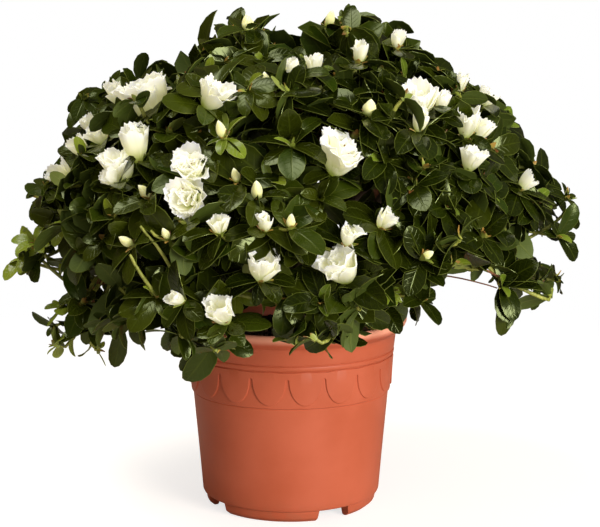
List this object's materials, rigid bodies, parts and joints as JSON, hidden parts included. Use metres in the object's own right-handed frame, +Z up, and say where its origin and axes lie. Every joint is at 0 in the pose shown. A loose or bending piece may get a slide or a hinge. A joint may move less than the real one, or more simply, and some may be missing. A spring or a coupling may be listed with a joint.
{
  "type": "potted azalea shrub",
  "caption": "Compact evergreen azalea shrub in a round terracotta-coloured plastic pot: a dome of glossy dark leaves with creamy white ruffled blossom.",
  "frame": {"origin": "on the pot's axis at the underside of its foot, on the surface that it stands on", "axes": "+Z up along the pot's axis; the front of the plant faces -Y; +X to the right, along the plant's widest spread"},
  "size_m": [0.3777, 0.3445, 0.3212],
  "materials": {
    "pot": "terracotta-coloured moulded plastic, satin",
    "soil": "dark moist peat, rough",
    "bark": "thin brown bark, rough",
    "leaves": "glossy dark green leaves",
    "young_leaves": "soft yellow-green young leaves and shoots",
    "blossom": "matte creamy white petals",
    "buds": "pale green-white buds with brown scales"
  },
  "bodies": {
    "root": {"bough_back": "bark", "bough_back_right": "bark", "bough_front": "bark", "bough_front_left": "bark", "bough_front_right": "bark", "bough_left": "bark", "bough_right": "bark", "bough_top": "bark", "foliage_flank_1": "leaves", "foliage_flank_2": "leaves", "foliage_flank_3": "leaves", "foliage_flank_4": "leaves", "foliage_flank_5": "leaves", "foliage_flank_6": "leaves", "foliage_flank_7": "leaves", "foliage_flank_8": "leaves", "foliage_flank_9": "leaves", "foliage_shoulder_1": "leaves", "foliage_shoulder_2": "leaves", "foliage_shoulder_3": "leaves", "foliage_shoulder_4": "leaves", "foliage_shoulder_5": "leaves", "foliage_shoulder_6": "leaves", "foliage_shoulder_7": "leaves", "foliage_skirt_1": "leaves", "foliage_skirt_2": "leaves", "foliage_skirt_3": "leaves", "foliage_skirt_4": "leaves", "foliage_skirt_5": "leaves", "foliage_skirt_6": "leaves", "foliage_skirt_7": "leaves", "foliage_skirt_8": "leaves", "foliage_spray_left": "leaves", "foliage_spray_low_left": "leaves", "foliage_spray_low_right": "leaves", "foliage_spray_right": "leaves", "foliage_spray_rim_left": "leaves", "foliage_top_1": "leaves", "foliage_top_2": "leaves", "foliage_top_3": "leaves", "pot": "pot", "side_bough_back": "bark", "side_bough_front": "bark", "side_bough_left": "bark", "side_bough_right": "bark", "side_bough_top": "bark", "soil": "soil", "stem": "bark"}
  },
  "joints": []
}
